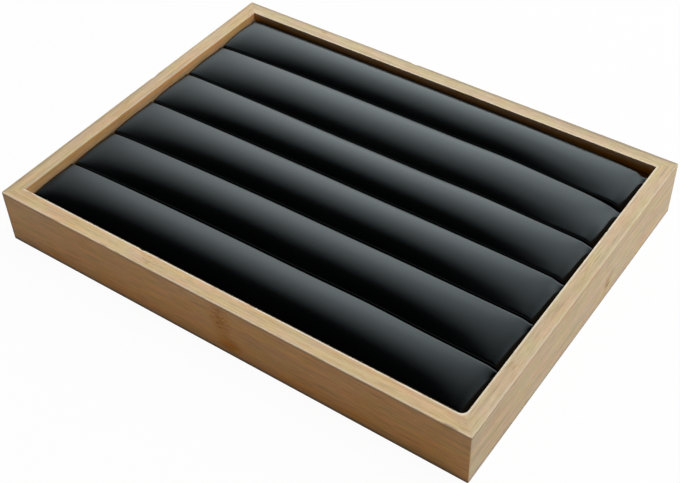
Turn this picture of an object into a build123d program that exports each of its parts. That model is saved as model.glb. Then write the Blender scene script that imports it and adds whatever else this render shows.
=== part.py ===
from build123d import *
import math
import os

# Ring display tray: a mitred bamboo frame with a panel let into its floor, and a drop-in
# pad of foam ring rolls under black leathercloth. Rings stand in the slots between the rolls.
# Millimetres. The origin is the middle of the underside, +X along the rolls, +Y to the back, +Z up.

# Frame
tray_length = 240.0
tray_depth = 180.0
rim_height = 28.0
rail_thickness = 7.5
outer_corner_radius = 1.2
arris_radius = 0.5

# Floor panel and the groove that carries it
groove_height = 3.0
groove_depth = 3.0
panel_thickness = 3.0
panel_slack = 0.2
panel_edge_clearance = 0.3

# Loose tongues hidden in the four mitres
tongue_thickness = 1.8
tongue_width = 5.6
tongue_length = 15.0
tongue_above_panel = 2.5
tongue_clearance = 0.05

# Drop-in pad: a board with the rolls glued side by side on it
board_thickness = 2.0
board_wall_clearance = 1.0
roll_count = 6
slot_gap = 0.4
roll_side_clearance = 1.3
roll_end_clearance = 1.5
crest_above_rim = 1.0

# Section of a roll
shoulder_radius = 3.0
crown_radius = 28.0
base_draw_in = 0.9

# Length of a roll: the crest sinks towards both ends, and the ends turn down and in
end_sag = 2.9
end_sag_power = 3.5
end_radius = 3.6

# Leathercloth round the foam
leather_thickness = 0.8
core_clearance = 0.15

# How the loft of a roll is cut into sections
end_angles = (0, 22.5, 45, 67.5, 90)
body_stations = (0.4, 0.65, 0.85)
cut_allowance = 1.0

# Worked out from the sizes above
opening_length = tray_length - 2 * rail_thickness
opening_depth = tray_depth - 2 * rail_thickness
panel_top = groove_height + panel_thickness
board_top = panel_top + board_thickness
crest_height = rim_height + crest_above_rim
roll_half_length = opening_length / 2 - roll_end_clearance
roll_pitch = (opening_depth - 2 * roll_side_clearance + slot_gap) / roll_count
roll_half_width = (roll_pitch - slot_gap) / 2
corner_signs = {
    "front_left": (-1, -1),
    "front_right": (1, -1),
    "back_left": (-1, 1),
    "back_right": (1, 1),
}


def block(length, depth, low, high):
    """Upright block centred on the Z axis, from one height to another."""
    return Pos(0, 0, (low + high) / 2) * Box(length, depth, high - low)


def frame_ring():
    """The four rails as one ring, eased at its edges and grooved inside for the panel."""
    ring = block(tray_length, tray_depth, 0, rim_height)
    upright = ring.edges().filter_by(Axis.Z)
    ring = fillet(upright, outer_corner_radius)
    ring -= block(opening_length, opening_depth, -cut_allowance, rim_height + cut_allowance)
    level = ring.faces().sort_by(Axis.Z)
    ring = fillet(level[-1].edges() + level[0].outer_wire().edges(), arris_radius)
    groove_top = panel_top + panel_slack
    groove_length = opening_length + 2 * groove_depth
    return ring - block(groove_length, opening_depth + 2 * groove_depth, groove_height, groove_top)


def mitre_wedge(side):
    """Prism that holds one rail, cut at 45 degrees through both of its corners."""
    along, across = (tray_length, tray_depth) if side in ("front", "back") else (tray_depth, tray_length)
    reach = rail_thickness + cut_allowance
    outer, inner = along / 2 + cut_allowance, along / 2 - reach
    near, far = -across / 2 - cut_allowance, -across / 2 + reach
    outline = Polyline((-outer, near), (outer, near), (inner, far), (-inner, far), close=True)
    wedge = extrude(Pos(0, 0, -cut_allowance) * make_face(outline), rim_height + 2 * cut_allowance)
    turn = {"front": 0, "right": 90, "back": 180, "left": 270}[side]
    return Rot(0, 0, turn) * wedge


def tongue(corner, clearance):
    """Upright tongue across one mitre, or its mortise when given a clearance."""
    sign_x, sign_y = corner_signs[corner]
    low = panel_top + panel_slack + tongue_above_panel
    middle_x = sign_x * (tray_length - rail_thickness) / 2
    middle_y = sign_y * (tray_depth - rail_thickness) / 2
    plate = block(
        tongue_thickness + 2 * clearance,
        tongue_width + 2 * clearance,
        low - clearance,
        low + tongue_length + clearance,
    )
    return Pos(middle_x, middle_y, 0) * Rot(0, 0, math.degrees(math.atan2(sign_y, sign_x))) * plate


def rail(side, ring):
    """One mitred rail with half of a mortise in each end."""
    piece = ring & mitre_wedge(side)
    for corner in corner_signs:
        if side in corner.split("_"):
            piece -= tongue(corner, tongue_clearance)
    return piece


def floor_panel():
    """Thin panel that lies in the groove of all four rails."""
    reach = 2 * (groove_depth - panel_edge_clearance)
    return block(opening_length + reach, opening_depth + reach, groove_height, panel_top)


def pad_board():
    """Stiff board that carries the rolls and drops onto the panel."""
    clearance = 2 * board_wall_clearance
    return block(opening_length - clearance, opening_depth - clearance, panel_top, board_top)


def roll_section(x, end_inset, skin, base):
    """Closed outline across a roll at x: base, drawn-in sides, round shoulders and a crown."""
    half_width = roll_half_width - end_inset - skin
    sag = end_sag * (abs(x) / roll_half_length) ** end_sag_power
    crest = crest_height - sag - end_inset - skin
    shoulder = shoulder_radius - skin
    crown = crown_radius - skin
    lean = math.asin((half_width - shoulder) / (crown - shoulder))
    centre_z = crest - crown + (crown - shoulder) * math.cos(lean)
    drop = centre_z - board_top
    side = (base_draw_in**2 + drop**2) / (2 * base_draw_in)
    dip = math.asin((centre_z - base) / side)

    def side_point(angle):
        return half_width - side * (1 - math.cos(angle)), centre_z - side * math.sin(angle)

    def shoulder_point(angle):
        return half_width - shoulder * (1 - math.sin(angle)), centre_z + shoulder * math.cos(angle)

    foot = side_point(dip)
    waist = side_point(dip / 2)
    turn = shoulder_point(math.pi / 2)
    bend = shoulder_point((lean + math.pi / 2) / 2)
    crown_edge = shoulder_point(lean)

    def at(point, mirror=1):
        return (x, mirror * point[0], point[1])

    return Wire([
        Edge.make_line(at(foot, -1), at(foot)),
        Edge.make_three_point_arc(at(foot), at(waist), at(turn)),
        Edge.make_three_point_arc(at(turn), at(bend), at(crown_edge)),
        Edge.make_three_point_arc(at(crown_edge), (x, 0, crest), at(crown_edge, -1)),
        Edge.make_three_point_arc(at(crown_edge, -1), at(bend, -1), at(turn, -1)),
        Edge.make_three_point_arc(at(turn, -1), at(waist, -1), at(foot, -1)),
    ])


def roll_solid(skin, base):
    """A whole roll, set in by the thickness of a skin on every side but its base."""
    turn = end_radius - skin
    half = roll_half_length - skin
    ends = [
        (half - turn * (1 - math.cos(math.radians(angle))), turn * (1 - math.sin(math.radians(angle))))
        for angle in end_angles
    ]
    straight = [((half - turn) * share, 0.0) for share in reversed(body_stations)]
    inward = ends + straight
    stations = [(-x, inset) for x, inset in inward] + [(0.0, 0.0)] + inward[::-1]
    return Solid.make_loft([roll_section(x, inset, skin, base) for x, inset in stations], ruled=True)


def leather_cover():
    """Leathercloth shell, open underneath where its edges are glued to the board."""
    return roll_solid(0, board_top) - roll_solid(leather_thickness, board_top - cut_allowance)


def foam_core():
    """Foam block inside the leathercloth, glued to the board."""
    return roll_solid(leather_thickness + core_clearance, board_top)


def write(name, shape):
    """One file for one sub-part."""
    export_step(shape, os.path.join("parts", name + ".step"))


def main():
    os.makedirs("parts", exist_ok=True)
    ring = frame_ring()
    for side in ("front", "back", "left", "right"):
        write("rail_" + side, rail(side, ring))
    for corner in corner_signs:
        write("corner_tongue_" + corner, tongue(corner, 0))
    write("base_panel", floor_panel())
    write("insert_board", pad_board())
    cover = leather_cover()
    core = foam_core()
    for number in range(roll_count):
        place = Pos(0, (number - (roll_count - 1) / 2) * roll_pitch, 0)
        write(f"leather_cover_{number + 1}", place * cover)
        write(f"foam_core_{number + 1}", place * core)


main()
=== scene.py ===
import math

import bmesh
import bpy
from bpy.props import FloatProperty, FloatVectorProperty, PointerProperty
from mathutils import Euler, Matrix, Vector, noise


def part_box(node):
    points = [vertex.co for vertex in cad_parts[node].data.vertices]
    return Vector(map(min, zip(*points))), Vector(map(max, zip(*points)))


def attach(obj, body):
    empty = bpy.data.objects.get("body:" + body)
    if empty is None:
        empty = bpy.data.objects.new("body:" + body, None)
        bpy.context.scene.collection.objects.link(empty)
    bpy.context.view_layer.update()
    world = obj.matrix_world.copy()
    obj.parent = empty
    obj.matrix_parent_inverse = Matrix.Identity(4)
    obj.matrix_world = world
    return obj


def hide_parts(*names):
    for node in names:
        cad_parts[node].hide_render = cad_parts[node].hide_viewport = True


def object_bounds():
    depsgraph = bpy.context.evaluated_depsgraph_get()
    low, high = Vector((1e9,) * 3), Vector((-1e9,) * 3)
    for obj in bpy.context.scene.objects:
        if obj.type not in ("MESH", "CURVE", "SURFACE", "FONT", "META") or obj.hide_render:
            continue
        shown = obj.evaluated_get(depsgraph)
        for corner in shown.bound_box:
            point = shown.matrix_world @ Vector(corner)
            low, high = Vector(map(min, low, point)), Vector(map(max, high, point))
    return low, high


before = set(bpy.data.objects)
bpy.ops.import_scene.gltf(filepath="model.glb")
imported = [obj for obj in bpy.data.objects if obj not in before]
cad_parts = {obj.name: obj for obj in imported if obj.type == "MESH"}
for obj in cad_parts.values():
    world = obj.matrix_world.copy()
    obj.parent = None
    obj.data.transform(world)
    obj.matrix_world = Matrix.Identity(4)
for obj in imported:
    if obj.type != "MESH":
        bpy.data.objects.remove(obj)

bl_info = {
    "name": "Ring Display Tray",
    "version": (1, 0, 0),
    "blender": (4, 5, 0),
    "location": "View3D > Sidebar > Ring Tray",
    "description": "Bamboo tray with a drop-in pad of leathercloth ring rolls",
    "category": "Object",
}

# Metres throughout, in the frame of the tray: origin in the middle of the underside,
# +X along the rolls, +Y to the back, +Z up.
MM = 0.001
cad_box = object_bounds()
tray_low, tray_high = cad_box
rail_low, rail_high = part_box("rail_front")
panel_low, panel_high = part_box("base_panel")
tongue_low, tongue_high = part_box("corner_tongue_front_right")
cover_names = [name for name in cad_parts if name.startswith("leather_cover_")]
roll_numbers = sorted(int(name.split("_")[-1]) for name in cover_names)
rail_thickness = rail_high.y - rail_low.y
rim_height = rail_high.z
tray_length = tray_high.x - tray_low.x
tray_depth = tray_high.y - tray_low.y

# Joinery inside the rails, as the solids have it
GROOVE_SLACK = 0.2 * MM
PANEL_EDGE_CLEARANCE = 0.3 * MM
GROOVE_DEPTH = panel_high.x - (tray_length / 2 - rail_thickness) + PANEL_EDGE_CLEARANCE
TONGUE_THICKNESS = 1.8 * MM
TONGUE_REACH = 2.8 * MM
TONGUE_CLEARANCE = 0.05 * MM

# What sanding has taken off the inner faces of the rails, and how far in that leaves them
SANDED = 0.15 * MM
inner_face = rail_thickness - SANDED

# How each rail is turned from the front one, and how deep the tone of its faces is:
# the outer one near the rim and at the foot, the inner one and the rim. The levels are painted light and
# shade: how light the outer face and the rim are painted at the rail's own left end and right end. The
# foot line says how dark the painted contact shade along the foot is
RAILS = {
    # The front rail's deep outer tone, deepest at the foot, is partly the bamboo's own and partly painted
    # shade of its shaded face
    "front": {
        "turn": 0, "outer_tones": (0.46, 0.70), "inner_tone": 0.50, "rim_tone": 0.15,
        "foot_shade_line": 0.9, "outer_painted_light": (1.07, 0.97), "rim_painted_light": (1.02, 0.96),
    },
    "right": {
        "turn": 90, "outer_tones": (0.08, 0.08), "inner_tone": 0.40, "rim_tone": 0.0,
        "foot_shade_line": 0.3, "outer_painted_light": (0.86, 0.98), "rim_painted_light": (0.92, 0.92),
    },
    # The back rail's deep inner tone is partly the bamboo's own and partly painted shade of its shaded inner
    # face
    "back": {
        "turn": 180, "outer_tones": (0.20, 0.34), "inner_tone": 1.0, "rim_tone": 0.0,
        "foot_shade_line": 0.5, "outer_painted_light": (1.0, 0.96), "rim_painted_light": (0.91, 1.02),
    },
    "left": {
        "turn": 270, "outer_tones": (0.16, 0.28), "inner_tone": 0.42, "rim_tone": 0.08,
        "foot_shade_line": 0.5, "outer_painted_light": (1.0, 0.95), "rim_painted_light": (1.04, 0.95),
    },
}

# Stains on the outer faces: place along the rail, height, half length, half breadth, how much deeper
# the tone is and how much darker
STAINS = {
    "front": [
        (7.5 * MM, 6 * MM, 5 * MM, 2.4 * MM, 0.45, 0.30),
        (3 * MM, 16 * MM, 4 * MM, 9 * MM, 0.16, 0.05),
        (-93 * MM, 4 * MM, 7 * MM, 1.8 * MM, 0.25, 0.0),
        (-25 * MM, 5 * MM, 12 * MM, 2.0 * MM, 0.10, 0.0),
        (62 * MM, 4.5 * MM, 16 * MM, 2.0 * MM, 0.06, 0.0),
    ],
    "right": [(24 * MM, 9.5 * MM, 1.8 * MM, 2.6 * MM, 0.35, 0.14)],
    "back": [(-60 * MM, 8 * MM, 6 * MM, 3.0 * MM, 0.30, 0.15)],
    "left": [(27 * MM, 9 * MM, 5 * MM, 3.0 * MM, 0.30, 0.12)],
}

# How much shallower the tone of the front rail is towards its left end
FRONT_LEFT_PALER = 0.10

# Edges of the rim of each rail: how much its outer one and its inner one are rubbed pale, a paleness that is
# partly wear and partly a painted highlight, and how dark the line drawn along the outer one is
ARRIS_WEAR_AND_HIGHLIGHT = {
    "front": (0.5, 1.0, 0.0),
    "right": (0.3, 1.0, 0.0),
    "back": (0.0, 0.8, 0.34),
    "left": (0.0, 0.10, 0.20),
}

# Bamboo knuckles: the rail's face, place along the rail, half breadth, slant, strength, and how far
# in from the edge of the rim the middle lies and how far the knuckle reaches to either side of it
KNUCKLES = {
    "front": [
        ("outer", 3.5 * MM, 5 * MM, -0.10, 0.85, 9 * MM, 9 * MM),
        ("top", -37 * MM, 3.0 * MM, 0.9, 0.45, 3.5 * MM, 6 * MM),
    ],
    "right": [
        ("outer", 25 * MM, 2.2 * MM, 0.45, 0.9, 19 * MM, 4.5 * MM),
        ("top", -52 * MM, 2.4 * MM, 0.4, 0.2, 3.5 * MM, 6 * MM),
    ],
    "back": [
        ("outer", -62 * MM, 5 * MM, 0.2, 0.7, 12 * MM, 12 * MM),
        ("top", 71 * MM, 2.5 * MM, 0.6, 0.25, 3.5 * MM, 6 * MM),
    ],
    "left": [
        ("outer", 24 * MM, 5 * MM, -0.3, 0.7, 12 * MM, 12 * MM),
        ("top", 12 * MM, 2.5 * MM, -0.5, 0.25, 3.5 * MM, 6 * MM),
    ],
}

# Small losses along the edges: the edge, place along the rail, half length, depth
NICKS = {
    "front": [
        ("inner", -43.3 * MM, 1.6 * MM, 0.45 * MM),
        ("outer", -51.3 * MM, 1.3 * MM, 0.35 * MM),
        ("outer", -59.5 * MM, 1.8 * MM, 0.40 * MM),
        ("outer", 111.0 * MM, 4.0 * MM, 0.45 * MM),
    ],
    "right": [("inner", 34.0 * MM, 1.4 * MM, 0.25 * MM)],
    "back": [("outer", 18.0 * MM, 2.0 * MM, 0.35 * MM)],
    "left": [("inner", 40.0 * MM, 2.2 * MM, 0.30 * MM), ("outer", -12.0 * MM, 1.6 * MM, 0.30 * MM)],
}

# Upright corners drawn with a darker line: which end of the rail, how far in from it, and strength
DARK_CORNER = {"front": (-1, 1.5 * MM, 0.55), "right": (1, 1.2 * MM, 0.30)}

# The glue and filler in the front right inner corner rounds it
FILLED_CORNER = {"front": 1, "right": -1}
FILLED_RADIUS = 3.0 * MM

# Hand-covered rolls are uneven. For each slot, from the front edge of the pad to its back edge:
# how far it lies off its even place in the middle, at its left end and at its right end
SLOT_SHIFT = [0.0, 0.4 * MM, 0.6 * MM, 0.0, -1.2 * MM, 0.5 * MM, 0.3 * MM]
LEFT_SHIFT = [0.0, -1.2 * MM, -1.6 * MM, -1.0 * MM, -1.5 * MM, -1.6 * MM, 0.2 * MM]
RIGHT_SHIFT = [0.0, -0.8 * MM, 0.4 * MM, -0.4 * MM, -1.9 * MM, -1.6 * MM, -3.0 * MM]

# How far each slot wanders to the back about halfway to its right end
RIPPLE = [0.0, 0.5 * MM, 0.1 * MM, 0.1 * MM, 0.6 * MM, 0.8 * MM, 0.4 * MM]

# For each roll, from the front: how wide the turn down into its left end is, how far the crest sinks
# at both ends, how far its back edge sinks at the right end, how deep the dimple there is, and how
# far the corner behind the dimple stands up
LEFT_TURN = [2.0 * MM, 2.2 * MM, 2.0 * MM, 2.0 * MM, 1.8 * MM, 1.6 * MM]
LEFT_SAG = [2.2 * MM, 2.4 * MM, 2.1 * MM, 2.0 * MM, 2.1 * MM, 1.6 * MM]
RIGHT_SAG = [1.8 * MM, 1.8 * MM, 1.9 * MM, 1.9 * MM, 2.0 * MM, 2.0 * MM]
BACK_FALL = [0.3 * MM, 0.2 * MM, 0.5 * MM, 0.8 * MM, 2.3 * MM, 0.9 * MM]
DIMPLE = [0.0, 0.4 * MM, 0.6 * MM, 0.3 * MM, 0.4 * MM, 0.5 * MM]
EAR = [1.0 * MM, 1.2 * MM, 0.8 * MM, 0.7 * MM, 0.8 * MM, 1.4 * MM]

# How many times the plain scallop the corners of the ends stand back: the front corners of each
# roll at the left and at the right, and the back corners at the left and at the right
LEFT_STAND_BACK = [1.0, 1.0, 1.1, 1.2, 1.3, 1.5]
RIGHT_STAND_BACK = [1.5, 1.6, 1.6, 2.4, 3.2, 4.0]
BACK_STAND_BACK = (1.0, 0.3)

# Share of the sag that a crown takes up by growing flatter, at the left and at the right
CROWN_FLATTENS = (0.75, 1.05)
FLATTEST_RISE = 0.35 * MM

# The slots wander a little along their length, and a corner stands up at each left end
SLOT_WANDER = 0.25 * MM
LEFT_EAR = 1.0 * MM

# Share of the turn into a right end that its back half stays out of, and its back corner once more
BACK_STAYS_UP = 0.45

# How many times as far as the left ends the right ends have crept
RIGHT_CREEP = 1.8

# Frames of the simulation that swells a cover, how far its points may move, and room for the slots
SWELL_FRAMES = 20
SWELL_LIMIT = 0.5 * MM
SLOT_MARGIN = 0.15 * MM

# Gap between a foam core and its cover
CORE_CLEARANCE = 0.15 * MM

# Where the photograph was taken from
CAMERA_PLACE = (0.2375665, -0.3241528, 0.3787079)
CAMERA_TURN = (45.854, 1.511, 34.952)

# Soft lamps: azimuth and elevation in degrees, distance, width and height
KEY_SOFTBOX = (118, 63, 2.2, 1.2, 1.2)
REAR_WINDOW = (184, 42, 1.5, 3.6, 2.4)
WINDOW_TINT = (0.90, 0.98, 1.0)
WINDOW_FADES = (("X", 0.70, 1.17), ("X", 0.20, -0.20), ("Y", 0.38, 0.80))

# Pale walls in reflections: sines of the heights where they begin, are palest and end
PALE_WALL_HEIGHTS = (0.0, 0.40, 0.80)
FLOOR_REACH = 3.0
WHITE = (1.0, 1.0, 1.0, 1.0)


def smooth(low, high, value):
    """0 below low, 1 above high and an even ease between them."""
    share = min(max((value - low) / (high - low), 0.0), 1.0)
    return share * share * (3 - 2 * share)


def bump_at(value, middle, spread):
    """Bell of height 1 round a middle."""
    return math.exp(-(((value - middle) / spread) ** 2))


def arc(centre, radius, start, end, steps):
    """Points of an arc in a section, from one angle to another in degrees, both ends included."""
    angles = [math.radians(start + (end - start) * step / steps) for step in range(steps + 1)]
    return [(centre[0] + radius * math.cos(a), centre[1] + radius * math.sin(a)) for a in angles]


def line(start, end, steps):
    """Points between the two ends of a straight stretch, neither end included."""
    return [
        tuple(a + (b - a) * step / steps for a, b in zip(start, end))
        for step in range(1, steps)
    ]


class FrameLook(bpy.types.PropertyGroup):
    """Sizes and colours of the bamboo frame."""

    arris_radius: FloatProperty(
        name="Arris Radius", description="Rounding of the sanded long edges",
        default=0.18 * MM, unit="LENGTH")
    corner_radius: FloatProperty(
        name="Corner Radius", description="Rounding of the outer upright corners",
        default=0.4 * MM, unit="LENGTH")
    waviness: FloatProperty(
        name="Waviness", description="How far sanding lets an edge wander", default=0.06 * MM, unit="LENGTH")
    layer_width: FloatProperty(
        name="Layer Width", description="Breadth of one glued bamboo layer", default=2.5 * MM, unit="LENGTH")
    straw: FloatVectorProperty(
        name="Straw", description="Pale bamboo of the rim",
        default=(0.745, 0.59, 0.385), subtype="COLOR", size=3)
    caramel: FloatVectorProperty(
        name="Caramel", description="Deeper bamboo of the outer face",
        default=(0.80, 0.30, 0.002), subtype="COLOR", size=3)
    lacquer: FloatProperty(
        name="Lacquer", description="How much the thin lacquer reflects", default=0.06, subtype="FACTOR")
    # Paleness of the rim edges: partly wear, partly a painted highlight
    wear_and_highlight: FloatProperty(
        name="Edge Wear and Highlight", description="How much paler the rubbed edges are", default=0.8, subtype="FACTOR")


class RollLook(bpy.types.PropertyGroup):
    """Sizes and colours of the ring rolls."""

    crown_radius: FloatProperty(
        name="Crown Radius", description="Curve across the top of a roll", default=36 * MM, unit="LENGTH")
    settled: FloatProperty(
        name="Settled", description="How far the foam has settled", default=0.7 * MM, unit="LENGTH")
    shoulder_radius: FloatProperty(
        name="Shoulder Radius", description="Turn from the crown into a slot",
        default=0.8 * MM, unit="LENGTH")
    draw_in: FloatProperty(
        name="Draw In", description="How far the sides pull in at the board", default=0.9 * MM, unit="LENGTH")
    end_reach: FloatProperty(
        name="End Reach", description="How far the covers have crept towards the end walls",
        default=0.6 * MM, unit="LENGTH")
    end_radius: FloatProperty(
        name="End Radius", description="Breadth of the turn down into a right end",
        default=6 * MM, unit="LENGTH")
    right_fall: FloatProperty(
        name="Right Fall", description="Height of the turn at a right end against its breadth",
        default=0.7, subtype="FACTOR")
    narrowing: FloatProperty(
        name="Narrowing", description="How much an end narrows as it turns down",
        default=0.25, subtype="FACTOR")
    end_drop: FloatProperty(
        name="End Drop", description="How far the crest bends down before an end",
        default=0.7 * MM, unit="LENGTH")
    scallop: FloatProperty(
        name="Scallop", description="How far the corners of an end stand back, before a roll's own share",
        default=0.5 * MM, unit="LENGTH")
    leather_thickness: FloatProperty(
        name="Leathercloth", description="Thickness of the leathercloth", default=0.8 * MM, unit="LENGTH")
    room_to_swell: FloatProperty(
        name="Room to Swell", description="How much smaller a cover starts", default=0.3 * MM, unit="LENGTH")
    pressure: FloatProperty(
        name="Foam Pressure", description="Push of the foam on its cover", default=4.0)
    black: FloatVectorProperty(
        name="Black", description="Colour of the leathercloth",
        default=(0.0008, 0.0009, 0.0010), subtype="COLOR", size=3)
    foam: FloatVectorProperty(
        name="Foam", description="Colour of the foam", default=(0.78, 0.76, 0.68), subtype="COLOR", size=3)


class StageLook(bpy.types.PropertyGroup):
    """Camera, lamps and floor."""

    lens: FloatProperty(
        name="Lens", description="Focal length on a 36 mm frame", default=63.727, unit="CAMERA")
    key_glow: FloatProperty(name="Key", description="Glow of the softbox high at the right", default=6.9)
    window_glow: FloatProperty(name="Window", description="Glow of the low window behind", default=1.88)
    ambient: FloatProperty(name="Ambient", description="Even light from all round", default=0.07)
    wall_level: FloatProperty(
        name="Walls", description="Brightness of the other walls in reflections", default=0.006)
    front_level: FloatProperty(
        name="Front Wall", description="Brightness in reflections of the wall in front", default=0.45)
    side_level: FloatProperty(
        name="Side Walls", description="Brightness in reflections of the walls at the sides", default=0.18)
    wall_top: FloatProperty(
        name="Wall Top", description="Height at which the other walls end",
        default=math.radians(20), subtype="ANGLE")
    ceiling: FloatProperty(
        name="Ceiling", description="Height at which the ceiling is dark",
        default=math.radians(45), subtype="ANGLE")
    floor_white: FloatProperty(
        name="Floor White", description="Share of plain white in the floor as seen",
        default=0.96, subtype="FACTOR")


def place(tree, kind, feeds=None, **settings):
    """Adds a shader node: settings are its own, feeds go to its inputs as links or values."""
    made = tree.nodes.new(kind)
    for key, value in settings.items():
        setattr(made, key, value)
    for key, value in (feeds or {}).items():
        if isinstance(value, bpy.types.NodeSocket):
            tree.links.new(value, made.inputs[key])
        else:
            made.inputs[key].default_value = value
    return made


def maths(tree, operation, first, second=0.0, clamp=False):
    """Result of a Math node."""
    feeds = {0: first, 1: second}
    return place(tree, "ShaderNodeMath", feeds, operation=operation, use_clamp=clamp).outputs[0]


def blended(tree, share, first, second, how="MIX"):
    """Colour mixed from two others."""
    feeds = {0: share, 6: first, 7: second}
    return place(tree, "ShaderNodeMix", feeds, data_type="RGBA", blend_type=how, clamp_factor=True).outputs[2]


def eased(tree, value, low, high):
    """Mask that rises from 0 at low to 1 at high."""
    feeds = {"Value": value, "From Min": low, "From Max": high}
    return place(tree, "ShaderNodeMapRange", feeds, interpolation_type="SMOOTHSTEP").outputs["Result"]


def stretched(tree, where, scale):
    """Coordinates scaled along each axis."""
    return place(tree, "ShaderNodeVectorMath", {0: where, 1: scale}, operation="MULTIPLY").outputs[0]


def cloud(tree, where, scale, detail=2.0, roughness=0.5):
    """Soft noise over stretched coordinates."""
    feeds = {"Vector": stretched(tree, where, scale), "Scale": 1.0, "Detail": detail, "Roughness": roughness}
    return place(tree, "ShaderNodeTexNoise", feeds).outputs["Fac"]


def banded(tree, value, low, middle, high):
    """Mask that rises from 0 at low to 1 at the middle and falls back to 0 at high."""
    return maths(tree, "MULTIPLY", eased(tree, value, low, middle), eased(tree, value, high, middle))


def moved(tree, value, drift, reach):
    """Value moved up and down by a noise round its middle."""
    return maths(tree, "ADD", value, maths(tree, "MULTIPLY", maths(tree, "SUBTRACT", drift, 0.5), reach))


def opaque(colour):
    """Colour of three numbers as the four a shader socket holds."""
    return (*colour, 1.0)


def new_group(name, inputs, outputs):
    """Empty shader group with the named sockets: (tree, its inputs, its output node)."""
    tree = bpy.data.node_groups.new(name, "ShaderNodeTree")
    for label, kind, value in inputs:
        socket = tree.interface.new_socket(label, in_out="INPUT", socket_type=kind)
        if value is not None:
            socket.default_value = value
    for label, kind in outputs:
        tree.interface.new_socket(label, in_out="OUTPUT", socket_type=kind)
    return tree, tree.nodes.new("NodeGroupInput").outputs, tree.nodes.new("NodeGroupOutput")


def give(tree, out, **values):
    """Links values to the outputs of a group."""
    for label, value in values.items():
        tree.links.new(value, out.inputs[label])


def shared_group(name, build):
    """The group of that name, built the first time it is asked for."""
    return bpy.data.node_groups.get(name) or build(name)


def bamboo_grain(name):
    """Fibres, layers and knuckles of bamboo, with X of the coordinates along the fibres."""
    tree, given, out = new_group(
        name,
        [
            ("Vector", "NodeSocketVector", None),
            ("Pale", "NodeSocketColor", (0.66, 0.49, 0.285, 1)),
            ("Deep", "NodeSocketColor", (0.47, 0.255, 0.105, 1)),
            ("Tone", "NodeSocketFloat", 0.0),
            ("Level", "NodeSocketFloat", 1.0),
            ("Knuckle", "NodeSocketFloat", 0.0),
            ("Layer Width", "NodeSocketFloat", 2.5 * MM),
        ],
        [("Color", "NodeSocketColor"), ("Roughness", "NodeSocketFloat"), ("Height", "NodeSocketFloat")],
    )
    where = given["Vector"]
    fibre = cloud(tree, where, (80, 1500, 1500), detail=2.0, roughness=0.6)
    streak = cloud(tree, where, (14, 420, 420), detail=3.0, roughness=0.6)
    blotch = cloud(tree, where, (45, 110, 110), detail=1.0)
    drift = cloud(tree, where, (70, 150, 150), detail=1.0)
    apart = place(tree, "ShaderNodeSeparateXYZ", {0: where}).outputs

    # Layers glued side by side, each with its own tone and a fine glue line between them
    count = maths(tree, "DIVIDE", apart["Y"], given["Layer Width"])
    # Makes every piece and the stage.
    layer = maths(tree, "FLOOR", count)
    own_tone = place(tree, "ShaderNodeTexWhiteNoise", {"W": layer}, noise_dimensions="1D").outputs["Value"]
    across = maths(tree, "ABSOLUTE", maths(tree, "SUBTRACT", maths(tree, "FRACT", count), 0.5))
    glue_line = eased(tree, across, 0.455, 0.5)

    # Tone: the face's own, moved by streaks, blotches and layers
    tone = moved(tree, given["Tone"], streak, 0.14)
    tone = moved(tree, tone, blotch, 0.3)
    tone = moved(tree, tone, own_tone, 0.10)
    base = blended(tree, maths(tree, "ADD", tone, 0.0, clamp=True), given["Pale"], given["Deep"])

    # Level: streaks and fibres darker and lighter, and a slow drift from olive to pink
    level = moved(tree, moved(tree, given["Level"], streak, 0.55), fibre, 1.2)
    base = place(tree, "ShaderNodeVectorMath", {0: base, "Scale": level}, operation="SCALE").outputs[0]
    olive = blended(tree, 1.0, base, (0.97, 1.0, 0.92, 1.0), "MULTIPLY")
    pink = blended(tree, 1.0, base, (1.0, 0.955, 0.99, 1.0), "MULTIPLY")
    base = blended(tree, eased(tree, drift, 0.35, 0.65), olive, pink)

    # Dark vessel lines along the fibres, crowded into short dashes at a knuckle
    vessels = maths(tree, "MULTIPLY", eased(tree, fibre, 0.50, 0.66), 0.55)
    dashes = cloud(tree, where, (270, 1200, 1200), detail=2.0)
    crowded = maths(tree, "MULTIPLY", eased(tree, dashes, 0.47, 0.60), given["Knuckle"])
    dark = maths(tree, "MAXIMUM", vessels, maths(tree, "MULTIPLY", crowded, 1.6), clamp=True)
    dark = maths(tree, "MAXIMUM", dark, maths(tree, "MULTIPLY", glue_line, 0.30))
    brown = blended(tree, 1.0, base, (0.55, 0.42, 0.30, 1.0), "MULTIPLY")
    colour = blended(tree, dark, base, brown)
    tinted = blended(tree, 1.0, colour, (0.95, 0.90, 0.68, 1.0), "MULTIPLY")
    colour = blended(tree, given["Knuckle"], colour, tinted)

    rough = maths(tree, "ADD", maths(tree, "MULTIPLY", fibre, 0.18), 0.36)
    height = maths(tree, "SUBTRACT", maths(tree, "MULTIPLY", streak, 0.3), maths(tree, "MULTIPLY", dark, 0.7))
    give(tree, out, Color=colour, Roughness=rough, Height=height)
    return tree


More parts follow.
